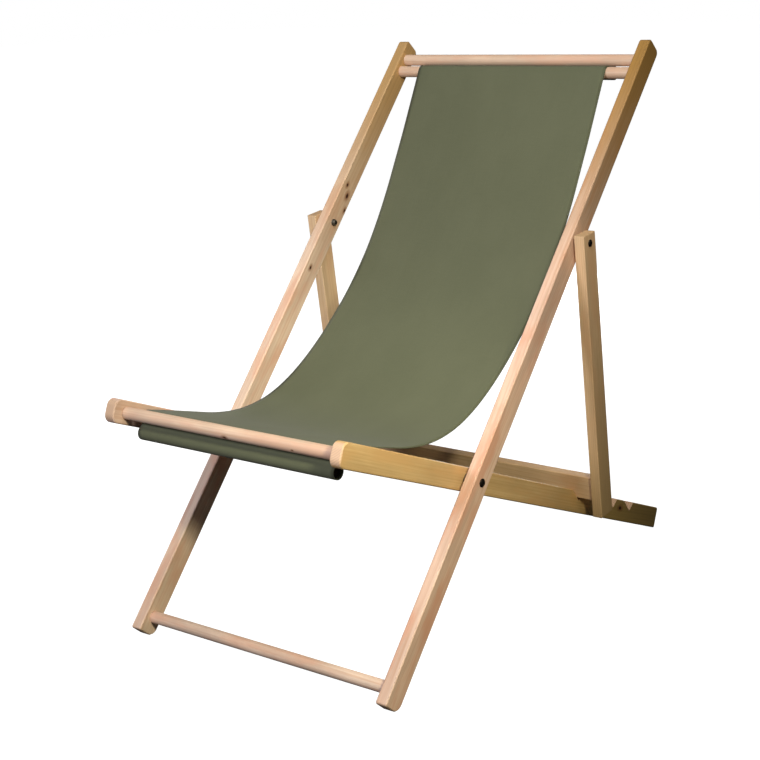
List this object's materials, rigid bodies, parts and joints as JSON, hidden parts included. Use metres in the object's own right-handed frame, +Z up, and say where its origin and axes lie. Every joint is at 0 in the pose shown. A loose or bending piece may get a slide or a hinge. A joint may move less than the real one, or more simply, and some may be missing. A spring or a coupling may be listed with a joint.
{
  "type": "deck chair",
  "caption": "Folding wooden deck chair with two crossing frames, a notched seat frame, a swinging rear support and a slung canvas seat.",
  "frame": {"origin": "centre of the bounding box on the floor, midway between the two sides", "axes": "+X towards the viewer's right when facing the chair's front, +Y from the front edge of the seat to the rear, +Z up; the chair's front faces -Y"},
  "size_m": [0.633, 1.0116, 0.985],
  "materials": {
    "back_rail_wood": "oiled, satin",
    "seat_rail_wood": "oiled, satin",
    "dowel_wood": "oiled, satin",
    "canvas": "matt woven canvas",
    "dark_steel": "dark bronze, satin",
    "plain_steel": "zinc plated"
  },
  "bodies": {
    "seat_frame": {"seat_rail_left": "seat_rail_wood", "seat_rail_right": "seat_rail_wood", "seat_front_dowel": "dowel_wood", "seat_guide_dowel": "dowel_wood", "seat_rear_dowel": "dowel_wood", "sling_front_rod": "dowel_wood", "sling": "canvas", "pivot_bolts": "dark_steel", "pivot_spacers": "plain_steel", "pivot_washers": "plain_steel", "pivot_nuts": "plain_steel"},
    "back_frame": {"back_rail_left": "back_rail_wood", "back_rail_right": "back_rail_wood", "top_dowel": "dowel_wood", "top_guide_dowel": "dowel_wood", "foot_dowel": "dowel_wood", "sling_top_rod": "dowel_wood", "strut_bolts": "dark_steel", "strut_spacers": "plain_steel", "strut_washers": "plain_steel", "strut_nuts": "plain_steel"},
    "support_frame": {"strut_left": "seat_rail_wood", "strut_right": "seat_rail_wood", "support_crossbar": "seat_rail_wood"}
  },
  "joints": [
    {"name": "back_fold", "type": "hinge", "parent": "seat_frame", "child": "back_frame", "pos_m": [0, -0.17879, 0.30537], "axis": [1, 0, 0], "range_deg": [0, 103], "deforming": ["sling"]},
    {"name": "support_fold", "type": "hinge", "parent": "back_frame", "child": "support_frame", "pos_m": [0, 0.13991, 0.65623], "axis": [1, 0, 0], "range_deg": [-44, 0]}
  ],
  "couplings": [
    {"joint": "support_fold", "follows": "back_fold", "ratio": -0.42}
  ]
}
